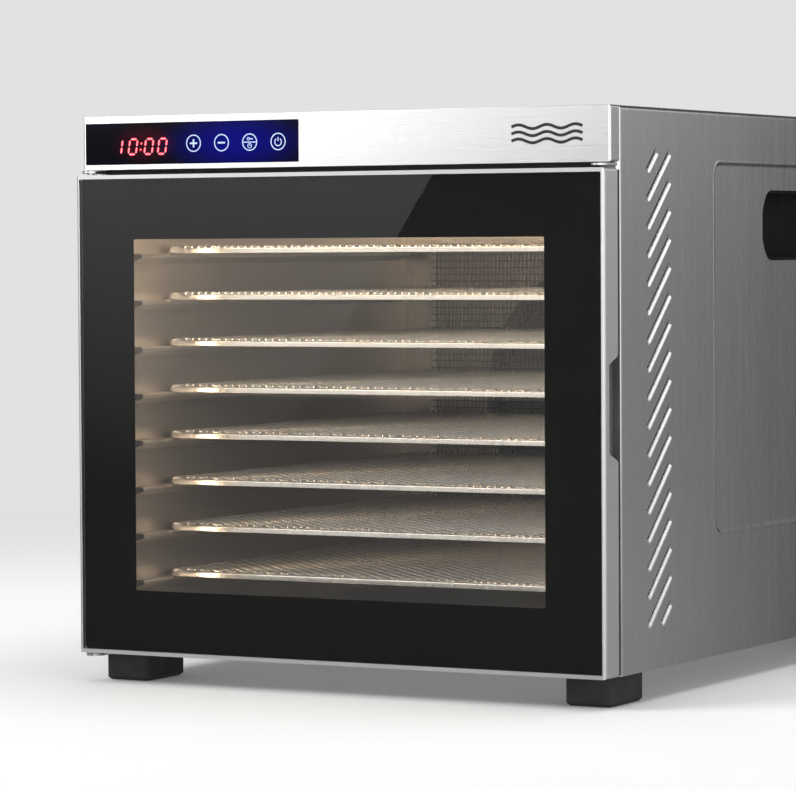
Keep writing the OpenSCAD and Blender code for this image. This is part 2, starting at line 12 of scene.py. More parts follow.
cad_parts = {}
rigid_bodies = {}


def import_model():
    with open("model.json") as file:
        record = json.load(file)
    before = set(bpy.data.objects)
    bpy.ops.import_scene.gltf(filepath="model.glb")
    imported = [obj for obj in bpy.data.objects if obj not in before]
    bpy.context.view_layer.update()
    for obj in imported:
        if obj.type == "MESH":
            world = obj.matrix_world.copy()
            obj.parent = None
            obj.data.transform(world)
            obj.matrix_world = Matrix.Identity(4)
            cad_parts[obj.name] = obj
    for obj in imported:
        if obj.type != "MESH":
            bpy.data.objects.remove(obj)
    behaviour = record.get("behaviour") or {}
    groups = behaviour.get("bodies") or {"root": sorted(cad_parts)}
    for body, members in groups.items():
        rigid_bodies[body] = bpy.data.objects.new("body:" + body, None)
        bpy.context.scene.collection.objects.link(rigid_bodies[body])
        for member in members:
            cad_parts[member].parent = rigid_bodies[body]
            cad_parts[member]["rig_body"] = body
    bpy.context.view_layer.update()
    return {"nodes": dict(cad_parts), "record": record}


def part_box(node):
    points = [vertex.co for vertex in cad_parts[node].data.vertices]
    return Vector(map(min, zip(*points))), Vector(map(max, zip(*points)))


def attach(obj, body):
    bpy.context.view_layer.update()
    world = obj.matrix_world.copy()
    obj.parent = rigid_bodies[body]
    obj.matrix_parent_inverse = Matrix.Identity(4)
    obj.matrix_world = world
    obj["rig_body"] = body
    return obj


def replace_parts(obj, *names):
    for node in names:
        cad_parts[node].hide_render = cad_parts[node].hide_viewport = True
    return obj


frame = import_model()
NODES = frame["nodes"]
MM = 0.001
TRAYS = range(1, 9)


# ---------------------------------------------------------------- places taken from the frame

def low(node):
    return Vector(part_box(node)[0])


def high(node):
    return Vector(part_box(node)[1])


FRONT_Y = low("door_frame").y
HALF_W = high("door_frame").x
DOOR_BACK_Y = high("door_frame").y
TOP_Z = high("outer_cover").z
COVER_FRONT_Y = low("outer_cover").y
PANE_LOW, PANE_HIGH = low("door_glass"), high("door_glass")
BORDER = 38.3 * MM
BORDER_LESS = (0.5 * MM, 0.7 * MM)  # how much narrower the border is below and above
WINDOW_X = HALF_W - BORDER
WINDOW_Z = (low("door_frame").z + BORDER - BORDER_LESS[0],
            high("door_frame").z - BORDER + BORDER_LESS[1])
LENS_LOW = low("display_glass")
DISPLAY_Z = (low("led_display").z + high("led_display").z) / 2
DIGITS_X = (low("led_display").x + high("led_display").x) / 2
LENS_Y = LENS_LOW.y
KEY_FIRST, KEY_PITCH = 75.8, 19  # millimetres from the lens's left end, and between keys
KEY_X = [LENS_LOW.x + (KEY_FIRST + KEY_PITCH * i) * MM for i in range(4)]
MARK_X = HALF_W - 39 * MM
SUNK_Y = (-80 * MM, 174 * MM)
SUNK_Z = (88.5 * MM, 303.5 * MM)
SUNK_CORNER = 8 * MM
CAMERA_PLACE = Vector((1.1106, -2.1547, 0.2563))


# ---------------------------------------------------------------- node helpers

def add(nt, kind, inputs=None, **props):
    """A shader node; an input is a socket to link from or a plain value."""
    n = nt.nodes.new(kind)
    for key, value in props.items():
        setattr(n, key, value)
    for key, value in (inputs or {}).items():
        if isinstance(value, bpy.types.NodeSocket):
            nt.links.new(value, n.inputs[key])
        else:
            n.inputs[key].default_value = value
    return n


def material(name, colour, rough, metal=0.0):
    """A Principled material with plain values; returns it with its tree and shader."""
    mat = bpy.data.materials.new(name)
    mat.use_nodes = True
    nt = mat.node_tree
    nt.nodes.clear()
    shader = add(nt, "ShaderNodeBsdfPrincipled",
                 {"Base Color": (*colour, 1), "Roughness": rough, "Metallic": metal})
    out = add(nt, "ShaderNodeOutputMaterial")
    nt.links.new(shader.outputs[0], out.inputs[0])
    mat.diffuse_color = (*colour, 1)
    return mat, nt, shader


def grain(nt, scale, detail=3.0, rough=0.6, stretch=(1, 1, 1)):
    """Noise in the object's own metres; scale is in cells per metre, and stretch multiplies it."""
    place = add(nt, "ShaderNodeTexCoord").outputs["Object"]
    turned = add(nt, "ShaderNodeMapping", {"Vector": place, "Scale": [s * scale for s in stretch]})
    tex = add(nt, "ShaderNodeTexNoise",
              {"Vector": turned.outputs[0], "Scale": 1.0, "Detail": detail, "Roughness": rough})
    return tex.outputs["Fac"]


def spread(nt, value, lo, hi, start=0.3, end=0.7):
    """Maps a noise value from start..end to lo..hi."""
    return add(nt, "ShaderNodeMapRange", {"Value": value, "From Min": start, "From Max": end,
                                          "To Min": lo, "To Max": hi}).outputs[0]


def fade(nt, value, lo, hi, start, end):
    """Like spread, with a soft start and end."""
    return add(nt, "ShaderNodeMapRange", {"Value": value, "From Min": start, "From Max": end,
                                          "To Min": lo, "To Max": hi},
               interpolation_type="SMOOTHSTEP").outputs[0]


def tint(nt, value, dark, light):
    """A colour from dark to light by a value from 0 to 1."""
    return add(nt, "ShaderNodeMix", {0: value, 6: (*dark, 1), 7: (*light, 1)},
               data_type="RGBA").outputs[2]


def plus(nt, a, b):
    return add(nt, "ShaderNodeMath", {0: a, 1: b}, operation="ADD").outputs[0]


def times(nt, a, b):
    return add(nt, "ShaderNodeMath", {0: a, 1: b}, operation="MULTIPLY").outputs[0]


def bump(nt, shader, height, depth, strength=1.0):
    n = add(nt, "ShaderNodeBump", {"Height": height, "Distance": depth, "Strength": strength})
    nt.links.new(n.outputs[0], shader.inputs["Normal"])


def show(nt, socket):
    """Makes a socket the material's surface."""
    out = next(n for n in nt.nodes if n.type == "OUTPUT_MATERIAL")
    nt.links.new(socket, out.inputs[0])


def reach(nt, place, centre, size):
    """Distance from a centre, 1 on the surface of an ellipsoid with these half sizes."""
    moved = add(nt, "ShaderNodeVectorMath", {0: place, 1: centre}, operation="SUBTRACT").outputs[0]
    sized = add(nt, "ShaderNodeVectorMath", {0: moved, 1: [1 / s for s in size]}, operation="MULTIPLY")
    return add(nt, "ShaderNodeVectorMath", {0: sized.outputs[0]}, operation="LENGTH").outputs["Value"]


# ---------------------------------------------------------------- materials

def brushed_steel(name, tone, rough, fine="Y", depth=0.00002, warm=0.0, contrast=0.06):
    """Steel with brush lines: they are fine across one axis and long along the two others."""
    colour = (tone + warm, tone, tone - warm)
    mat, nt, shader = material(name, colour, rough, 1.0)
    stretch = [1.0 if axis == fine else 0.018 for axis in "XYZ"]
    lines = grain(nt, 2200, 4, 0.7, stretch)
    bands = grain(nt, 420, 2, 0.5, stretch)
    clouds = grain(nt, 7, 3, 0.5)
    mixed = plus(nt, times(nt, lines, 0.7), times(nt, bands, 0.3))
    shade = plus(nt, times(nt, mixed, 0.75), times(nt, clouds, 0.25))
    dark = [c * (1 - contrast) for c in colour]
    light = [min(1, c * (1 + contrast)) for c in colour]
    nt.links.new(tint(nt, spread(nt, shade, 0, 1, 0.36, 0.64), dark, light), shader.inputs["Base Color"])
    nt.links.new(spread(nt, mixed, rough - 0.04, rough + 0.05, 0.35, 0.65), shader.inputs["Roughness"])
    bump(nt, shader, lines, depth)
    return mat


def plain_metal(name, colour, rough, size=400, depth=0.00003):
    """Polished or plated metal with faint clouds and fine pits."""
    mat, nt, shader = material(name, colour, rough, 1.0)
    clouds = grain(nt, size / 8, 3)
    fine = grain(nt, size, 4)
    dark = [c * 0.88 for c in colour]
    nt.links.new(tint(nt, spread(nt, clouds, 0, 1), dark, colour), shader.inputs["Base Color"])
    nt.links.new(spread(nt, fine, rough * 0.75, rough * 1.3), shader.inputs["Roughness"])
    bump(nt, shader, fine, depth)
    return mat


def moulded(name, colour, rough, grain_size=1400, depth=0.00006, sheen=0.0, gloss=0.5):
    """Plastic or rubber with a fine leather-like mould grain and slight dust."""
    mat, nt, shader = material(name, colour, rough)
    place = add(nt, "ShaderNodeTexCoord").outputs["Object"]
    cells = add(nt, "ShaderNodeTexVoronoi", {"Vector": place, "Scale": grain_size},
                feature="SMOOTH_F1").outputs["Distance"]
    clouds = grain(nt, 60, 4)
    light = [min(1, c * 1.45 + 0.004) for c in colour]
    nt.links.new(tint(nt, spread(nt, clouds, 0, 1), colour, light), shader.inputs["Base Color"])
    nt.links.new(spread(nt, clouds, rough - 0.06, rough + 0.08), shader.inputs["Roughness"])
    shader.inputs["Sheen Weight"].default_value = sheen
    shader.inputs["Specular IOR Level"].default_value = gloss
    bump(nt, shader, cells, depth, 0.6)
    return mat


def clear_glass(name, colour, lamp_tint):
    """Glass that refracts what is behind it and lets lamps through, tinted."""
    mat, nt, shader = material(name, colour, 0.0)
    shader.inputs["Transmission Weight"].default_value = 1.0
    shader.inputs["IOR"].default_value = 1.47
    through = add(nt, "ShaderNodeBsdfTransparent", {"Color": (*lamp_tint, 1)})
    rays = add(nt, "ShaderNodeLightPath")
    mix = add(nt, "ShaderNodeMixShader", {0: rays.outputs["Is Shadow Ray"], 1: shader.outputs[0],
                                          2: through.outputs[0]})
    show(nt, mix.outputs[0])
    return mat


def display_lens(name):
    """Black gloss glass with a blue glow round the keys and a faint red one round the digits."""
    mat, nt, shader = material(name, (0.003, 0.003, 0.006), 0.06)
    shader.inputs["IOR"].default_value = 1.5
    shader.inputs["Specular IOR Level"].default_value = 0.03
    place = add(nt, "ShaderNodeTexCoord").outputs["Object"]
    keys = ((KEY_X[1] + KEY_X[2]) / 2, LENS_Y, DISPLAY_Z)
    digits = (DIGITS_X, LENS_Y, DISPLAY_Z)
    from_keys = reach(nt, place, keys, (0.058, 0.1, 0.021))
    from_digits = reach(nt, place, digits, (0.026, 0.1, 0.013))
    blue = tint(nt, fade(nt, from_keys, 1.0, 0.0, 0.1, 1.0), (0, 0, 0.0004), (0.0, 0.0004, 0.19))
    red = tint(nt, fade(nt, from_digits, 1.0, 0.0, 0.3, 1.0), (0, 0, 0), (0.03, 0.0005, 0.0012))
    both = add(nt, "ShaderNodeMix", {0: 1.0, 6: blue, 7: red}, data_type="RGBA", blend_type="ADD")
    nt.links.new(both.outputs[2], shader.inputs["Emission Color"])
    shader.inputs["Emission Strength"].default_value = 1.0
    return mat


def enamel(name, colour):
    """Black enamel fused into the pane, seen through it."""
    mat, nt, shader = material(name, colour, 0.6)
    clouds = grain(nt, 40, 2)
    light = [c * 1.5 for c in colour]
    nt.links.new(tint(nt, spread(nt, clouds, 0, 1), colour, light), shader.inputs["Base Color"])
    shader.inputs["Specular IOR Level"].default_value = 0.1
    return mat


def lit(name, colour, strength):
    """A lit or printed mark."""
    mat, nt, shader = material(name, [c * 0.5 for c in colour], 0.5)
    fine = grain(nt, 900, 2)
    nt.links.new(tint(nt, spread(nt, fine, 0, 1), [c * 0.85 for c in colour], colour),
                 shader.inputs["Emission Color"])
    shader.inputs["Emission Strength"].default_value = strength
    return mat


def circuit_board(name):
    """Green solder mask with lighter tracks."""
    mat, nt, shader = material(name, (0.02, 0.16, 0.06), 0.35)
    place = add(nt, "ShaderNodeTexCoord").outputs["Object"]
    tracks = add(nt, "ShaderNodeTexBrick",
                 {"Vector": place, "Scale": 160.0, "Mortar Size": 0.05, "Color1": (0, 0, 0, 1),
                  "Color2": (0.2, 0.2, 0.2, 1), "Mortar": (1, 1, 1, 1)})
    nt.links.new(tint(nt, tracks.outputs["Color"], (0.012, 0.13, 0.045), (0.05, 0.3, 0.12)),
                 shader.inputs["Base Color"])
    bump(nt, shader, tracks.outputs["Color"], 0.0001)
    return mat


def laminations(name):
    """Stacked iron sheets, seen as lines across Y."""
    mat, nt, shader = material(name, (0.22, 0.23, 0.25), 0.42, 1.0)
    place = add(nt, "ShaderNodeTexCoord").outputs["Object"]
    sheets = add(nt, "ShaderNodeTexWave", {"Vector": place, "Scale": 320.0, "Distortion": 0.4},
                 bands_direction="Y")
    nt.links.new(tint(nt, sheets.outputs["Fac"], (0.12, 0.125, 0.135), (0.34, 0.35, 0.37)),
                 shader.inputs["Base Color"])
    bump(nt, shader, sheets.outputs["Fac"], 0.0002)
    return mat


CASE_SIDE = brushed_steel("case_steel", 0.62, 0.24, "Y", 0.000004, contrast=0.07)
CASE_BACK = brushed_steel("back_steel", 0.6, 0.36, "X")
FASCIA = brushed_steel("fascia_steel", 0.67, 0.3, "Z", 0.00004, contrast=0.05)
DOOR_STEEL = brushed_steel("door_steel", 0.68, 0.46, "Z", contrast=0.03)
LINER = brushed_steel("liner_steel", 0.62, 0.42, "Y", warm=0.045, contrast=0.03)
BULKHEAD = brushed_steel("bulkhead_steel", 0.66, 0.24, "X", warm=0.03, contrast=0.03)
# The slot lips are pressed from the case steel; this brighter, smoother copy of that steel is painted
# sheen on them.
SHEEN_LIP = plain_metal("polished_lip", (0.9, 0.9, 0.9), 0.25, 900)
GUARD = plain_metal("guard_wire", (0.3, 0.3, 0.33), 0.35, 900)
TRAY_STEEL = plain_metal("tray_steel", (0.9, 0.88, 0.85), 0.22)
WIRE = plain_metal("wire_steel", (0.86, 0.85, 0.83), 0.2, 900)
ZINC = plain_metal("zinc_plate", (0.72, 0.73, 0.75), 0.3, 700)
ALUMINIUM = plain_metal("fan_aluminium", (0.78, 0.79, 0.8), 0.32)
HEATER = plain_metal("heater_tube", (0.2, 0.17, 0.15), 0.5, 900, 0.0001)
MAGNET = plain_metal("magnet", (0.16, 0.16, 0.17), 0.5)
IRON = laminations("motor_iron")
BLACK = moulded("black_plastic", (0.008, 0.008, 0.009), 0.6, gloss=0.05)
RUBBER = moulded("black_rubber", (0.036, 0.036, 0.036), 0.7, 900, 0.0001, gloss=0.08)
SILICONE = moulded("silicone_seal", (0.08, 0.08, 0.085), 0.5, 2200, 0.00003, 0.1)
CABLE = moulded("cable_sheath", (0.02, 0.02, 0.022), 0.45, 2600, 0.00003)
PADS = moulded("contact_pads", (0.5, 0.5, 0.46), 0.7, 1600)
BOARD = circuit_board("circuit_board")
LED_MODULE = moulded("led_module", (0.25, 0.012, 0.015), 0.3, 1800)
LENS = display_lens("display_lens")
PANE = clear_glass("tempered_glass", (0.82, 0.815, 0.8), (0.66, 0.65, 0.63))
PRINT = enamel("enamel_print", (0.003, 0.003, 0.0032))
RED = lit("digit_light", (1.0, 0.03, 0.06), 1.3)
RED_CORE = lit("digit_core", (1.0, 0.42, 0.5), 1.1)
WHITE = lit("key_light", (0.55, 0.7, 1.0), 0.65)
INK = moulded("printed_mark", (0.01, 0.01, 0.011), 0.5, 3000, 0.00001)

BY_SLOT = {
    "stainless_steel": CASE_SIDE, "liner_steel": LINER, "display_lens": LENS,
    "led_module": LED_MODULE, "contact_pads": PADS, "circuit_board": BOARD, "bright_wire": WIRE,
    "heater_tube": HEATER, "motor_iron": IRON, "zinc_plate": ZINC, "black_plastic": BLACK,
    "cable_sheath": CABLE, "tempered_glass": PANE, "silicone_seal": SILICONE,
    "magnet_core": MAGNET, "fan_aluminium": ALUMINIUM, "black_rubber": RUBBER,
    "tray_steel": TRAY_STEEL, "tray_wire": WIRE,
}
BY_NODE = {
    "rear_cover": CASE_BACK, "rear_vent_hood": CASE_BACK, "front_frame": CASE_BACK,
    "control_fascia": FASCIA, "door_frame": DOOR_STEEL, "chamber_back": BULKHEAD,
}
SLOT_OF = {s["node"]: s["material_slot"] for s in frame["record"]["subparts"]}
ROUNDED_NODES = (
    "door_frame", "control_fascia", "foot_front_left", "foot_front_right", "foot_rear_left",
    "foot_rear_right", "handle_cup_left", "handle_cup_right", "hinge_bracket_upper",
    "spare_bracket_upper", "hinge_bracket_lower",
)


def node_material(node):
    return BY_NODE.get(node, BY_SLOT[SLOT_OF[node]])


def dress_nodes():
    for name, obj in NODES.items():
        for s in obj.material_slots:
            s.material = node_material(name)


# ---------------------------------------------------------------- mesh helpers

def mesh_of(name, bm):
    """Turns a bmesh into a mesh whose faces all look outwards."""
    mesh = bpy.data.meshes.new(name)
    bmesh.ops.recalc_face_normals(bm, faces=bm.faces)
    bm.to_mesh(mesh)
    bm.free()
    return mesh


def piece(name, bm, mat, body, slot, smooth=30):
    """An object made from a bmesh, with a material, riding on a body."""
    return piece_of_mesh(name, mesh_of(name, bm), mat, body, slot, smooth)


def flat_faces_stay_flat(mesh, turn=50):
    """Shading normals led by the biggest face at each corner, so that only rounded edges look round."""
    around = [[] for _ in mesh.vertices]
    for face in mesh.polygons:
        for v in face.vertices:
            around[v].append((face.normal.copy(), face.area ** 2))
    near = math.cos(math.radians(turn))
    normals = []
    for face in mesh.polygons:
        for v in face.vertices:
            total = Vector()
            for way, weight in around[v]:
                if way.dot(face.normal) > near:
                    total += way * weight
            normals.append(total.normalized() if total.length > 0 else face.normal.copy())
    mesh.normals_split_custom_set(normals)


def piece_of_mesh(name, mesh, mat, body, slot, smooth=30):
    """An object of a mesh, smooth below an angle in degrees, riding on a body."""
    mesh.materials.clear()
    mesh.materials.append(mat)
    mesh.shade_smooth()
    mesh.set_sharp_from_angle(angle=math.radians(smooth))
    obj = bpy.data.objects.new(name, mesh)
    bpy.context.scene.collection.objects.link(obj)
    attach(obj, body)
    return obj


def body_of(node):
    return NODES[node]["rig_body"]


def refined(node, width, steps=2, smooth=40):
    """The node's own shape with its sharp edges rounded, which stands for the node."""
    bm = bmesh.new()
    bm.from_mesh(NODES[node].data)
    bmesh.ops.remove_doubles(bm, verts=bm.verts, dist=0.002 * MM)
    bmesh.ops.dissolve_limit(bm, angle_limit=math.radians(0.4), verts=bm.verts, edges=bm.edges)
    sharp = [e for e in bm.edges if len(e.link_faces) == 2 and e.calc_face_angle() > math.radians(35)]
    bmesh.ops.bevel(bm, geom=sharp, offset=width, segments=steps, profile=0.5,
                    affect="EDGES", clamp_overlap=True)
    obj = piece("fine_" + node, bm, node_material(node), body_of(node), SLOT_OF[node], smooth)
    flat_faces_stay_flat(obj.data)
    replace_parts(obj, node)


def grid_faces(bm, rows, closed=True):
    """Skins a list of vertex rings."""
    for a, b in zip(rows, rows[1:]):
        count = len(a)
        for i in range(count if closed else count - 1):
            j = (i + 1) % count
            bm.faces.new((a[i], a[j], b[j], b[i]))


def wire_along(bm, points, radius, sides=4, side_axis=Vector((0, 0, 1))):
    """A thin round wire through points, capped at both ends."""
    rows = []
    for i, p in enumerate(points):
        before = points[max(i - 1, 0)]
        after = points[min(i + 1, len(points) - 1)]
        way = (after - before).normalized()
        u = way.cross(side_axis).normalized()
        v = u.cross(way).normalized()
        ring = []
        for k in range(sides):
            a = 2 * math.pi * (k + 0.5) / sides
            ring.append(bm.verts.new(p + radius * (math.cos(a) * u + math.sin(a) * v)))
        rows.append(ring)
    grid_faces(bm, rows)
    bm.faces.new(rows[0])
    bm.faces.new(reversed(rows[-1]))


def box_in(bm, lo, hi):
    """An axis-aligned box between two corners."""
    lo, hi = Vector(lo), Vector(hi)
    size = hi - lo
    for v in bmesh.ops.create_cube(bm, size=1.0)["verts"]:
        v.co = Vector([lo[i] + size[i] * (v.co[i] + 0.5) for i in range(3)])


def arc(centre, radius, start, end, steps):
    """Points of an arc in a plane, angles in degrees."""
    out = []
    for i in range(steps + 1):
        a = math.radians(start + (end - start) * i / steps)
        out.append((centre[0] + radius * math.cos(a), centre[1] + radius * math.sin(a)))
    return out


def rounded(x0, x1, z0, z1, r, steps=8):
    """Outline of a rounded rectangle, anticlockwise."""
    out = arc((x1 - r, z0 + r), r, -90, 0, steps) + arc((x1 - r, z1 - r), r, 0, 90, steps)
    return out + arc((x0 + r, z1 - r), r, 90, 180, steps) + arc((x0 + r, z0 + r), r, 180, 270, steps)


def ring_plate(bm, outer, inner, y0, y1):
    """A flat ring between two outlines in X and Z with the same number of points, from y0 to y1."""
    loops = []
    for outline, y in ((outer, y0), (inner, y0), (inner, y1), (outer, y1)):
        loops.append([bm.verts.new((x, y, z)) for x, z in outline])
    grid_faces(bm, loops + [loops[0]])


def plate(bm, outline, y0, y1):
    """A flat plate of an outline in X and Z, from y0 to y1."""
    front = [bm.verts.new((x, y0, z)) for x, z in outline]
    back = [bm.verts.new((x, y1, z)) for x, z in outline]
    grid_faces(bm, [front, back])
    bm.faces.new(front)
    bm.faces.new(reversed(back))


# ---------------------------------------------------------------- door

def door_pane():
    """The pane with ground edges and, inside its back face, the enamel border."""
    refined("door_glass", 0.5 * MM, 2, 25)
    bm = bmesh.new()
    inset = 0.25 * MM
    outer = rounded(PANE_LOW.x + inset, PANE_HIGH.x - inset, PANE_LOW.z + inset, PANE_HIGH.z - inset,
                    1.5 * MM)
    inner = rounded(-WINDOW_X, WINDOW_X, WINDOW_Z[0], WINDOW_Z[1], 1.2 * MM)
    ring_plate(bm, outer, inner, PANE_HIGH.y - 0.35 * MM, PANE_HIGH.y - 0.15 * MM)
    piece("enamel_border", bm, PRINT, "door", "tempered_glass")


# ---------------------------------------------------------------- trays

WEAVE_PITCH = 4.6 * MM
WEAVE_CORNER = 14 * MM
WIRE_R = 0.52 * MM
CRIMP = 1.2  # how far a wire swings up and down, in wire radii
RIM_CORNER = 18 * MM
FOLDED_END = ((0.5, 0.1), (1.0, 1.2), (2.2, 1.6), (4.0, 1.1))  # inwards and up, millimetres from the rim


def woven_mesh():
    """One tray's mesh: wires both ways, each crimped over and under the crossing ones."""
    bm = bmesh.new()
    lo, hi = low("tray_mesh_1"), high("tray_mesh_1")
    mid_z = (lo.z + hi.z) / 2
    centre = (lo + hi) / 2
    counts = [int((hi[i] - lo[i]) / WEAVE_PITCH) for i in (0, 1)]
    for along in (0, 1):
        across = 1 - along
        for k in range(counts[across]):
            c = centre[across] + (k - (counts[across] - 1) / 2) * WEAVE_PITCH
            edge = (hi[across] - lo[across]) / 2 - abs(c - centre[across])
            cut = 0
            if edge < WEAVE_CORNER:
                cut = WEAVE_CORNER - math.sqrt(max(WEAVE_CORNER ** 2 - (WEAVE_CORNER - edge) ** 2, 0))
            half = (hi[along] - lo[along]) / 2 - cut - 0.6 * MM
            steps = int(2 * half / (WEAVE_PITCH / 2))
            points = []
            for i in range(steps + 1):
                t = -half + 2 * half * i / steps
                cell = t / WEAVE_PITCH + (counts[along] - 1) / 2
                wave = math.cos(math.pi * cell) * (1 if (k + along) % 2 else -1)
                p = Vector((0, 0, mid_z + CRIMP * WIRE_R * wave))
                p[along] = centre[along] + t
                p[across] = c
                points.append(p)
            wire_along(bm, points, WIRE_R, 4)
    return bm


def folded_ends():
    """Ends of one tray's mesh wires, folded over the rim at its front and back."""
    bm = bmesh.new()
    lo, hi = low("tray_frame_1"), high("tray_frame_1")
    for k in range(int((hi.x - lo.x - 2 * RIM_CORNER) / WEAVE_PITCH) + 1):
        x = lo.x + RIM_CORNER + k * WEAVE_PITCH
        for edge, way in ((lo.y, 1), (hi.y, -1)):
            points = [Vector((x, edge + way * d * MM, hi.z + h * MM)) for d, h in FOLDED_END]
            wire_along(bm, points, WIRE_R * 1.2, 5, Vector((1, 0, 0)))
    return bm


def at_each_tray(name, bm, node, mat):
    """Copies of the first tray's wires at the level of each tray; gives each tray's number and piece."""
    mesh = mesh_of(name, bm)
    base = low(f"{node}_1").z
    for i in TRAYS:
        copy = mesh.copy()
        copy.transform(Matrix.Translation((0, 0, low(f"{node}_{i}").z - base)))
        yield i, piece_of_mesh(f"{name}_{i}", copy, mat, f"tray_{i}", "tray_wire", 60)


def trays():
    for i, obj in at_each_tray("woven_mesh", woven_mesh(), "tray_mesh", WIRE):
        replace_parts(obj, f"tray_mesh_{i}")
    for i, _ in at_each_tray("mesh_ends", folded_ends(), "tray_frame", TRAY_STEEL):
        refined(f"tray_frame_{i}", 0.45 * MM, 2, 40)


# ---------------------------------------------------------------- casing

SLOT_COUNT = 16
SLOT_PITCH = 15.93 * MM
SLOT_RUN = 28 * MM
SLOT_RISE = 25.2 * MM
SLOT_ENDS = 1.1 * MM
SLOT_FRONT = 36.5 * MM  # from the cover's front edge
SLOT_BOTTOM, SLOT_TOP = 25.6 * MM, 25.2 * MM  # from the cover's lower and upper edge
# across the slot and outwards, in millimetres
LIP_PROFILE = [(0.0, -1.0), (0.3, -0.72), (1.5, -0.2), (2.5, 0.2), (2.9, 0.2), (3.3, -0.1), (2.6, -0.8),
               (0.2, -1.3)]
LIP_LINE = 1.2  # where across the slot a flap's ends close
LIP_TIP = 0.03  # how wide the ends still are, as a share of the profile
LIP_ENDS = ((2.2, 1), (1.3, -1))  # length of the lower and the upper taper, in millimetres, and its way


def side_name(side):
    return "right" if side > 0 else "left"


def slot_lips(side):
    """Pressed-in flaps of the slanted air slots; side is 1 on the right, -1 on the left."""
    bm = bmesh.new()
    start_y = COVER_FRONT_Y + SLOT_FRONT
    bottom, top = low("outer_cover").z + SLOT_BOTTOM, TOP_Z - SLOT_TOP
    length = math.hypot(SLOT_RUN, SLOT_RISE)
    way = Vector((0, SLOT_RUN, SLOT_RISE)) / length
    out = Vector((side, 0, 0))
    down = Vector((0, way.z, -way.y))
    for i in range(-1, SLOT_COUNT + 1):
        z = bottom + i * SLOT_PITCH
        first = max(0, (bottom - z) / SLOT_RISE) * length - SLOT_ENDS
        last = min(1, (top - z) / SLOT_RISE) * length + SLOT_ENDS
        origin = Vector((side * HALF_W, start_y, z))
        rows = []
        steps = 8
        for end, (run, sign) in zip((first, last + 0.6 * MM), LIP_ENDS):
            for k in range(steps + 1)[::sign]:
                t = k / steps
                shrink = math.sqrt(1 - (1 - t) ** 2) * (1 - LIP_TIP) + LIP_TIP
                place = origin + way * (end + sign * (t * run + 0.1) * MM)
                rows.append([bm.verts.new(place + down * ((u - LIP_LINE) * shrink + LIP_LINE) * MM
                                          + out * (v * shrink - (1 - shrink) * 0.5) * MM)
                             for u, v in LIP_PROFILE])
        grid_faces(bm, rows)
        bm.faces.new(rows[0])
        bm.faces.new(reversed(rows[-1]))
    # the lips take the brighter copy of the case steel: painted sheen
    piece("slot_lips_" + side_name(side), bm, SHEEN_LIP, "cabinet", "stainless_steel", 35)


# away from the panel's middle and outwards, in millimetres
SUNK_PROFILE = [(1.4, -0.3), (1.2, 0.02), (0.5, 0.03), (0.0, 0.0), (-0.6, -0.22), (-1.2, -0.6),
                (-1.7, -0.76), (-2.2, -0.78), (-2.2, -1.1)]


def sunk_edge(side):
    """The soft pressed step round the sunk panel of one side."""
    bm = bmesh.new()
    loops = []
    for grow, out in SUNK_PROFILE:
        g = grow * MM
        outline = rounded(SUNK_Y[0] - g, SUNK_Y[1] + g, SUNK_Z[0] - g, SUNK_Z[1] + g,
                          SUNK_CORNER + g, 10)
        loops.append([bm.verts.new((side * (HALF_W + out * MM), y, z)) for y, z in outline])
    grid_faces(bm, loops + [loops[0]])
    piece("sunk_edge_" + side_name(side), bm, CASE_SIDE, "cabinet", "stainless_steel", 60)


GAP_STRIP_X = (HALF_W - 4.5 * MM, HALF_W - 0.15 * MM)
GAP_STRIP_HALF_DEPTH = 0.3 * MM
NOTCH_MARGIN = 6 * MM  # how far the notch's strip reaches above and below the notch


def gap_seals():
    """Black strips in the gaps above the door and along its free edge that stand for the shade there
    (painted shade), and a dark grey one behind the finger notch, a lighter painted shade where the notch
    lets light in."""
    door_low, door_high = low("door_frame").z, high("door_frame").z
    openings = frame["record"]["physics"]["openings"]
    notch = next(o["box_m"] for o in openings if o["name"] == "finger_notch")
    z0, z1 = notch[0][2] - NOTCH_MARGIN, notch[1][2] + NOTCH_MARGIN
    back = COVER_FRONT_Y + GAP_STRIP_HALF_DEPTH
    bm = bmesh.new()
    x = HALF_W - 12 * MM
    box_in(bm, (-x, COVER_FRONT_Y - 5 * MM, door_high + 0.5 * MM),
           (x, COVER_FRONT_Y, low("control_fascia").z))
    for start, end in ((door_low + MM, z0), (z1, door_high - MM)):
        box_in(bm, (GAP_STRIP_X[0], DOOR_BACK_Y + 0.1 * MM, start), (GAP_STRIP_X[1], back, end))
    # black strips where the gaps lie in shade: painted shade
    piece("gap_seals", bm, RUBBER, "cabinet", "black_rubber")
    bm = bmesh.new()
    box_in(bm, (GAP_STRIP_X[0], COVER_FRONT_Y - GAP_STRIP_HALF_DEPTH, z0), (GAP_STRIP_X[1], back, z1))
    # dark grey strip behind the notch: lighter painted shade
    piece("notch_seal", bm, SILICONE, "cabinet", "silicone_seal")


GUARD_FRAME = 5 * MM
GUARD_WIRE_R = 0.4 * MM
# the axis that the wires stand along in a row, the one that they run along, their pitch and depth
GUARD_WIRES = ((0, 2, 2.9 * MM, 1.0 * MM), (2, 0, 4.4 * MM, 1.7 * MM))


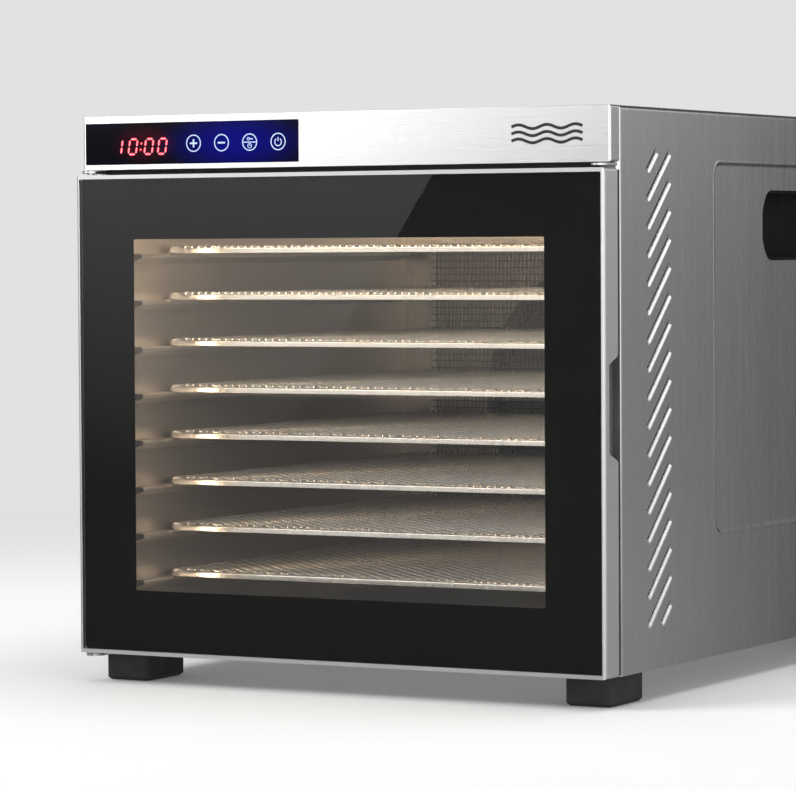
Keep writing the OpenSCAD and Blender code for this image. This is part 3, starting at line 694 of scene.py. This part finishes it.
def fan_guard():
    """Welded mesh in a frame, in front of the fan."""
    lo, hi = low("fan_guard"), high("fan_guard")
    bm = bmesh.new()
    outer = rounded(lo.x, hi.x, lo.z, hi.z, 10 * MM)
    inner = rounded(lo.x + GUARD_FRAME, hi.x - GUARD_FRAME, lo.z + GUARD_FRAME, hi.z - GUARD_FRAME,
                    5 * MM)
    ring_plate(bm, outer, inner, hi.y - 1.6 * MM, hi.y)
    sharp = [e for e in bm.edges if e.calc_face_angle(0) > 1]
    bmesh.ops.bevel(bm, geom=sharp, offset=0.3 * MM, segments=2, affect="EDGES")
    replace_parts(piece("guard_frame", bm, ZINC, "cabinet", "bright_wire"), "fan_guard")
    bm = bmesh.new()
    mid = (lo + hi) / 2
    for axis, other, pitch, depth in GUARD_WIRES:
        half = (hi[other] - lo[other]) / 2 - 2 * MM
        count = int((hi[axis] - lo[axis] - 2 * GUARD_FRAME) / pitch / 2)
        for k in range(-count, count + 1):
            ends = []
            for sign in (-1, 1):
                p = Vector((0, hi.y - depth, 0))
                p[axis] = mid[axis] + k * pitch
                p[other] = mid[other] + sign * half
                ends.append(p)
            wire_along(bm, ends, GUARD_WIRE_R, 6, Vector((0, 1, 0)))
    piece("guard_mesh", bm, GUARD, "cabinet", "bright_wire", 60)


# ---------------------------------------------------------------- display

SEGMENTS = {"0": "abcdef", "1": "bc"}
PRINT_Y = LENS_Y - 0.02 * MM
PRINT_DEPTH = 0.06 * MM
DIGIT_H, DIGIT_W = 8.8 * MM, 5.2 * MM
DIGIT_LEAN = 0.16
DIGIT_LEFT, DIGIT_DOWN = 17.6 * MM, 1.75 * MM  # from the display's middle
DIGIT_STARTS = (-3.6 * MM, 6.75 * MM, 17.75 * MM, 27.0 * MM)
COLON_START = 14.9 * MM
SEGMENT_GAP = 0.55 * MM


def bar_mark(bm, a, b, width, y):
    """A flat stroke with pointed ends between two points of the panel."""
    a, b = Vector((a[0], 0, a[1])), Vector((b[0], 0, b[1]))
    way = (b - a).normalized()
    side = Vector((way.z, 0, -way.x)) * width / 2
    tip = way * width / 2
    outline = [a, a + tip + side, b - tip + side, b, b - tip - side, a + tip - side]
    plate(bm, [(p.x, p.z) for p in outline], y - PRINT_DEPTH, y)


def stroke(bm, points, width, y, closed=False, depth=PRINT_DEPTH):
    """A flat line of even width through points of the panel."""
    count = len(points)
    inside, outside = [], []
    for i, (x, z) in enumerate(points):
        before = points[i - 1] if closed or i else points[0]
        after = points[(i + 1) % count] if closed or i < count - 1 else points[-1]
        way = Vector((after[0] - before[0], after[1] - before[1])).normalized()
        off = Vector((-way.y, way.x)) * width / 2
        inside.append((x + off.x, z + off.y))
        outside.append((x - off.x, z - off.y))
    loops = []
    for line, level in ((inside, y), (outside, y), (outside, y - depth), (inside, y - depth)):
        loops.append([bm.verts.new((x, level, z)) for x, z in line])
    if closed:
        grid_faces(bm, loops + [loops[0]])
        return
    grid_faces(bm, loops + [loops[0]], False)
    bm.faces.new([ring[0] for ring in loops])
    bm.faces.new([ring[-1] for ring in reversed(loops)])


def disc(bm, x, z, radius, y):
    plate(bm, arc((x, z), radius, 0, 345, 23), y - PRINT_DEPTH, y)


def on_display(x, z, start):
    """A point of a slanted figure that starts at a distance from the digits' left end."""
    left = DIGITS_X - DIGIT_LEFT
    base = DISPLAY_Z - DIGIT_H / 2 - DIGIT_DOWN
    return (left + start + x + DIGIT_LEAN * z, base + z)


def digits():
    """The lit time, in slanted seven-segment figures, with a paler core in each segment."""
    half, gap, right, top = DIGIT_H / 2, SEGMENT_GAP, DIGIT_W, DIGIT_H
    ends = {"a": ((gap, top), (right - gap, top)), "d": ((gap, 0), (right - gap, 0)),
            "b": ((right, top - gap), (right, half + gap / 2)),
            "c": ((right, half - gap / 2), (right, gap)),
            "f": ((0, top - gap), (0, half + gap / 2)), "e": ((0, half - gap / 2), (0, gap))}
    for name, mat, thick, level in (("digits", RED, 1.5 * MM, PRINT_Y),
                                    ("digit_cores", RED_CORE, 0.5 * MM, LENS_Y - 0.1 * MM)):
        bm = bmesh.new()
        for figure, start in zip("1000", DIGIT_STARTS):
            for key in SEGMENTS[figure]:
                a, b = ends[key]
                bar_mark(bm, on_display(*a, start), on_display(*b, start), thick, level)
        for height in (2.6 * MM, 6.2 * MM):
            x, z = on_display(0, height, COLON_START)
            disc(bm, x, z, thick * 0.5, level)
        piece(name, bm, mat, "cabinet", "led_module")


KEY_R = 4.7 * MM
KEY_DOWN = 0.4 * MM  # below the display's middle
# number of the key from the left, both ends of a stroke from its middle, and the width, in millimetres
KEY_STROKES = (
    (0, (-2.4, 0), (2.4, 0), 1.0), (0, (0, 0.5), (0, 2.4), 1.0), (0, (0, -2.4), (0, -0.5), 1.0),
    (1, (-2.4, 0), (2.4, 0), 1.0),
    (2, (-4.3, 0), (4.3, 0), 0.6), (2, (-0.1, 1.9), (2.2, 1.9), 0.6), (2, (0, -2.1), (0, -1.2), 0.4),
    (2, (0.2, -2.1), (0.8, -2.1), 0.4),
    (3, (0, 0.2), (0, 2.6), 0.6),
)
# number of the key, centre, radius, first and last angle, steps, width, and whether it closes
KEY_ARCS = (
    (2, (-0.9, 1.9), 0.75, 0, 330, 11, 0.45, True),
    (2, (0, -2.1), 1.3, 0, 337.5, 15, 0.4, True),
    (3, (0, -0.2), 2.2, 125, 415, 24, 0.6, False),
)


def keys():
    """Four lit rings: plus, minus, a thermometer over a clock, and the power sign."""
    bm = bmesh.new()
    z = DISPLAY_Z - KEY_DOWN
    for x in KEY_X:
        stroke(bm, arc((x, z), KEY_R, 0, 352.5, 47), 0.65 * MM, PRINT_Y, True)
    for key, a, b, width in KEY_STROKES:
        ends = [(KEY_X[key] + p[0] * MM, z + p[1] * MM) for p in (a, b)]
        stroke(bm, ends, width * MM, PRINT_Y)
    for key, centre, radius, first, last, steps, width, closed in KEY_ARCS:
        middle = (KEY_X[key] + centre[0] * MM, z + centre[1] * MM)
        stroke(bm, arc(middle, radius * MM, first, last, steps), width * MM, PRINT_Y, closed)
    piece("key_marks", bm, WHITE, "cabinet", "display_lens")


WAVE_HALF = 22 * MM
WAVE_PITCH = 3.9 * MM
WAVE_RISE = 1.1 * MM
WAVE_COUNT = 2.5


def airflow_mark():
    """A plain air-flow sign printed on the fascia: three waves."""
    bm = bmesh.new()
    middle = DISPLAY_Z + 1.0 * MM
    steps = 48
    for row in (-1, 0, 1):
        points = []
        for k in range(steps + 1):
            t = k / steps
            z = middle + row * WAVE_PITCH + WAVE_RISE * math.sin(2 * math.pi * WAVE_COUNT * t)
            points.append((MARK_X - WAVE_HALF + 2 * WAVE_HALF * t, z))
        stroke(bm, points, 1.7 * MM, low("control_fascia").y, False, 0.05 * MM)
    piece("airflow_mark", bm, INK, "cabinet", "black_plastic")


# ---------------------------------------------------------------- stage, light and camera

CAMERA_YAW, CAMERA_PITCH, CAMERA_ROLL = 28.95, 2.18, -0.32  # degrees
CAMERA_SENSOR, CAMERA_LENS = 36, 177.4  # millimetres
BACKDROP = (0.76, 0.76, 0.76)
FLOOR_HALF = 30.0
FLOOR_Z = -0.2 * MM
FLOOR_FADE = (0.5, 1.7)  # distances over which the floor turns into the backdrop
CARD_Y = -1.8
CARD_FOOT = 5 * MM
CLOTH_Z = 0.4 * MM
LEFT_END, RIGHT_END = -4.2, 3.0  # of the surroundings that the cabinet reflects
SIDE_SIGHT = -23.8  # turn of the sight lines that the cabinet's right side reflects, degrees from +Y
WARM = (1.0, 0.78, 0.54)
# name, place, size, power
LAMPS = (
    ("key", (-1.5, -1.9, 1.9), (1.4, 1.4), 48),
    ("top", (0.3, 0.1, 2.3), (1.8, 1.8), 32),
    ("side", (2.2, 0.7, 0.9), (1.0, 1.2), 4),
)
# name, place, target, size in millimetres, power
CHAMBER_LAMPS = (
    ("chamber_strip_-1", (-137, -202, 158), (40, 120, 158), (8, 245), 0.05),
    ("chamber_strip_1", (137, -202, 158), (-40, 120, 158), (8, 245), 0.05),
    ("chamber_ceiling_strip", (0, -188, 281), (0, 40, 60), (240, 10), 0.22),
)


def look_matrix(place, yaw, pitch, roll):
    """A camera's matrix from its place and angles; yaw 0 looks along +Y, a positive pitch looks down."""
    ahead = Vector((-math.sin(yaw) * math.cos(pitch), math.cos(yaw) * math.cos(pitch), -math.sin(pitch)))
    right = Vector((math.cos(yaw), math.sin(yaw), 0))
    up = right.cross(ahead)
    right, up = (right * math.cos(roll) + up * math.sin(roll),
                 up * math.cos(roll) - right * math.sin(roll))
    m = Matrix((right, up, -ahead)).transposed().to_4x4()
    m.translation = place
    return m


def camera():
    data = bpy.data.cameras.new("camera")
    data.sensor_width = CAMERA_SENSOR
    data.lens = CAMERA_LENS
    data.clip_start = 0.05
    obj = bpy.data.objects.new("camera", data)
    obj.matrix_world = look_matrix(CAMERA_PLACE, math.radians(CAMERA_YAW), math.radians(CAMERA_PITCH),
                                   math.radians(CAMERA_ROLL))
    bpy.context.scene.collection.objects.link(obj)
    bpy.context.scene.camera = obj


def stage_plane(name, corners, mat):
    """A flat stage surface between corners."""
    mesh = bpy.data.meshes.new(name)
    mesh.from_pydata([tuple(c) for c in corners], [], [tuple(range(len(corners)))])
    mesh.materials.append(mat)
    obj = bpy.data.objects.new(name, mesh)
    bpy.context.scene.collection.objects.link(obj)
    return obj


def floor():
    """The plain pale floor, which turns into the backdrop's colour with distance."""
    mat, nt, shader = material("floor_paint", (0.85, 0.85, 0.84), 0.6)
    clouds = grain(nt, 3, 3)
    nt.links.new(tint(nt, clouds, (0.83, 0.83, 0.82), (0.87, 0.87, 0.86)), shader.inputs["Base Color"])
    far = reach(nt, add(nt, "ShaderNodeTexCoord").outputs["Object"], (0, 0, 0), (1, 1, 1))
    haze = add(nt, "ShaderNodeEmission", {"Color": (*BACKDROP, 1)})
    mix = add(nt, "ShaderNodeMixShader", {0: fade(nt, far, 0.0, 1.0, *FLOOR_FADE), 1: shader.outputs[0],
                                          2: haze.outputs[0]})
    show(nt, mix.outputs[0])
    stage_plane("floor", flat(-FLOOR_HALF, FLOOR_HALF, -FLOOR_HALF, FLOOR_HALF, FLOOR_Z), mat)


def glow_material(name, level, ramps=(), colour=(1, 1, 1)):
    """Plain light; each ramp (axis, start, end, low, high, bend) multiplies its level along an axis."""
    mat, nt, _ = material(name, (0, 0, 0), 1.0)
    place = add(nt, "ShaderNodeSeparateXYZ", {0: add(nt, "ShaderNodeTexCoord").outputs["Object"]})
    light = add(nt, "ShaderNodeEmission", {"Color": (*colour, 1), "Strength": level})
    strength = level
    for axis, start, end, lo, hi, bend in ramps:
        along = spread(nt, place.outputs[axis], 0, 1, start, end)
        bent = add(nt, "ShaderNodeMath", {0: along, 1: bend}, operation="POWER").outputs[0]
        strength = times(nt, spread(nt, bent, lo, hi, 0, 1), strength)
    if ramps:
        nt.links.new(strength, light.inputs["Strength"])
    show(nt, light.outputs[0])
    return mat


def card(name, corners, mat, through=False):
    """A stage surface seen only in reflections or, with through, only by rays that pass the pane."""
    obj = stage_plane(name, corners, mat)
    obj.visible_camera = False
    obj.visible_diffuse = False
    obj.visible_shadow = False
    obj.visible_glossy = not through
    obj.visible_transmission = through
    return obj


def mirrored(x, z, y):
    """Where the line of sight to a point x, z of the door, mirrored there, meets the plane at y."""
    eye = Vector((CAMERA_PLACE.x, 2 * FRONT_Y - CAMERA_PLACE.y, CAMERA_PLACE.z))
    point = Vector((x, FRONT_Y, z))
    return eye + (point - eye) * (y - eye.y) / (point.y - eye.y)


def upright(x0, x1, z0, z1, y):
    """Corners of a rectangle across Y."""
    return [(x0, y, z0), (x1, y, z0), (x1, y, z1), (x0, y, z1)]


def sideways(x, y0, y1, z0, z1):
    """Corners of a rectangle across X."""
    return [(x, y0, z0), (x, y1, z0), (x, y1, z1), (x, y0, z1)]


def flat(x0, x1, y0, y1, z):
    """Corners of a level rectangle."""
    return [(x0, y0, z), (x1, y0, z), (x1, y1, z), (x0, y1, z)]


def white_corners():
    """The white card's outline; its slanted right edge shows as a line across the door."""
    height = 0.38
    top = mirrored(66.5 * MM, 297 * MM, CARD_Y)
    bottom = mirrored(-118 * MM, 17.6 * MM, CARD_Y)
    slope = (top.x - bottom.x) / (top.z - bottom.z)
    edge_low = bottom.x + (CARD_FOOT - bottom.z) * slope
    edge_high = top.x + (height - top.z) * slope
    return [(edge_low, CARD_Y, CARD_FOOT), (edge_high, CARD_Y, height), (LEFT_END, CARD_Y, height),
            (LEFT_END, CARD_Y, CARD_FOOT)]


def reflection_cards():
    """What the steel and the glass reflect: a white card for the door, a brighter one above it for the
    fascia, dim surroundings and cloths on the floor, and cards beside, behind and over the cabinet."""
    grey = glow_material("grey_surroundings", 0.15)
    white = glow_material("card_light", 1.0, [("Z", 0.0, 0.36, 0.12, 1.15, 1)])
    fascia = glow_material("fascia_light", 1.0, [("X", -1.5, -0.4, 6.1, 0.84, 1),
                                                 ("Z", 0.65, 1.05, 1.0, 0.15, 1)])
    rear_cloth = glow_material("rear_cloth_light", 1.0, [("Y", 0.1, 0.6, 0.42, 0.04, 1)])
    side_cloth = glow_material("side_cloth_light", 1.0, [("X", -0.12, 0.12, 0.01, 0.36, 1)])
    side = glow_material("side_light", 1.0, [("X", 0.75, 1.03, 0.0, 0.46, 1),
                                             ("Z", 0.0, 0.8, 0.75, 3.2, 3)])
    inside = glow_material("inside_light", 2.0, (), (1.0, 0.92, 0.82))
    card("white_card", white_corners(), white)
    card("fascia_card", upright(-2.6, -0.05, 0.385, 1.5, CARD_Y), fascia)
    card("grey_card", upright(LEFT_END, RIGHT_END, 0.0, 2.4, CARD_Y - 0.05), grey)
    card("front_cloth", flat(LEFT_END, RIGHT_END, -4.0, FRONT_Y, CLOTH_Z), grey)
    card("rear_cloth", flat(LEFT_END, HALF_W, FRONT_Y, 3.0, CLOTH_Z), rear_cloth)
    cloth = card("side_cloth", flat(HALF_W, RIGHT_END, FRONT_Y, 3.0, CLOTH_Z), side_cloth)
    # its own X runs across the mirrored sight lines, so that its ramp shows from front to rear
    from_eye = Matrix.Translation((2 * HALF_W - CAMERA_PLACE.x, CAMERA_PLACE.y, 0))
    from_eye = from_eye @ Matrix.Rotation(math.radians(SIDE_SIGHT), 4, "Z")
    cloth.data.transform(from_eye.inverted())
    cloth.matrix_world = from_eye
    card("side_card", upright(0.4, 3.2, CARD_FOOT, 2.0, 1.6), side)
    card("right_card", sideways(2.2, -2.6, 0.3, CARD_FOOT, 1.4), glow_material("right_light", 1.7))
    card("corner_card", upright(0.05, 2.2, CARD_FOOT, 1.4, CARD_Y), glow_material("corner_light", 2.6))
    card("overhead_card", flat(-0.9, 1.5, -1.1, 1.3, 2.3), glow_material("overhead_light", 0.85))
    card("inside_card", upright(-2.2, 1.0, 0.1, 1.4, CARD_Y), inside, True)


def area(name, place, target, size, power, colour=(1, 1, 1), seen=True):
    """A rectangular lamp that the camera doesn't see; seen tells whether reflections show it."""
    data = bpy.data.lights.new(name, "AREA")
    data.shape = "RECTANGLE"
    data.size, data.size_y = size
    data.energy = power
    data.color = colour
    obj = bpy.data.objects.new(name, data)
    obj.location = place
    obj.rotation_euler = (Vector(target) - Vector(place)).to_track_quat("-Z", "Y").to_euler()
    obj.visible_camera = False
    obj.visible_glossy = seen
    bpy.context.scene.collection.objects.link(obj)
    return obj


def inside_area(name, place, target, size, power, colour):
    """A small lamp in the chamber, in millimetres, that doesn't show through the pane."""
    obj = area(name, Vector(place) * MM, Vector(target) * MM, [s * MM for s in size], power, colour)
    obj.visible_transmission = False


def world():
    """Plain studio light, dim in reflections, with the backdrop where the camera sees it."""
    w = bpy.data.worlds.new("studio")
    w.use_nodes = True
    nt = w.node_tree
    nt.nodes.clear()
    rays = add(nt, "ShaderNodeLightPath")
    diffuse = add(nt, "ShaderNodeBackground", {"Color": (0.95, 0.97, 1.0, 1), "Strength": 0.5})
    mirror = add(nt, "ShaderNodeBackground", {"Color": (0.95, 0.97, 1.0, 1), "Strength": 0.08})
    seen = add(nt, "ShaderNodeBackground", {"Color": (*BACKDROP, 1), "Strength": 1.0})
    first = add(nt, "ShaderNodeMixShader",
                {0: rays.outputs["Is Glossy Ray"], 1: diffuse.outputs[0], 2: mirror.outputs[0]})
    mix = add(nt, "ShaderNodeMixShader",
              {0: rays.outputs["Is Camera Ray"], 1: first.outputs[0], 2: seen.outputs[0]})
    out = add(nt, "ShaderNodeOutputWorld")
    nt.links.new(mix.outputs[0], out.inputs[0])
    bpy.context.scene.world = w


def lights():
    for name, place, size, power in LAMPS:
        area(name, place, (0, 0, 0.17), size, power, seen=False)
    for name, place, target, size, power in CHAMBER_LAMPS:
        inside_area(name, place, target, size, power, WARM)


bpy.context.scene.view_settings.view_transform = "Standard"
camera()
dress_nodes()
door_pane()
for name in ROUNDED_NODES:
    refined(name, 0.35 * MM)
trays()
for side in (-1, 1):
    slot_lips(side)
    sunk_edge(side)
gap_seals()
fan_guard()
digits()
keys()
airflow_mark()
floor()
reflection_cards()
world()
lights()
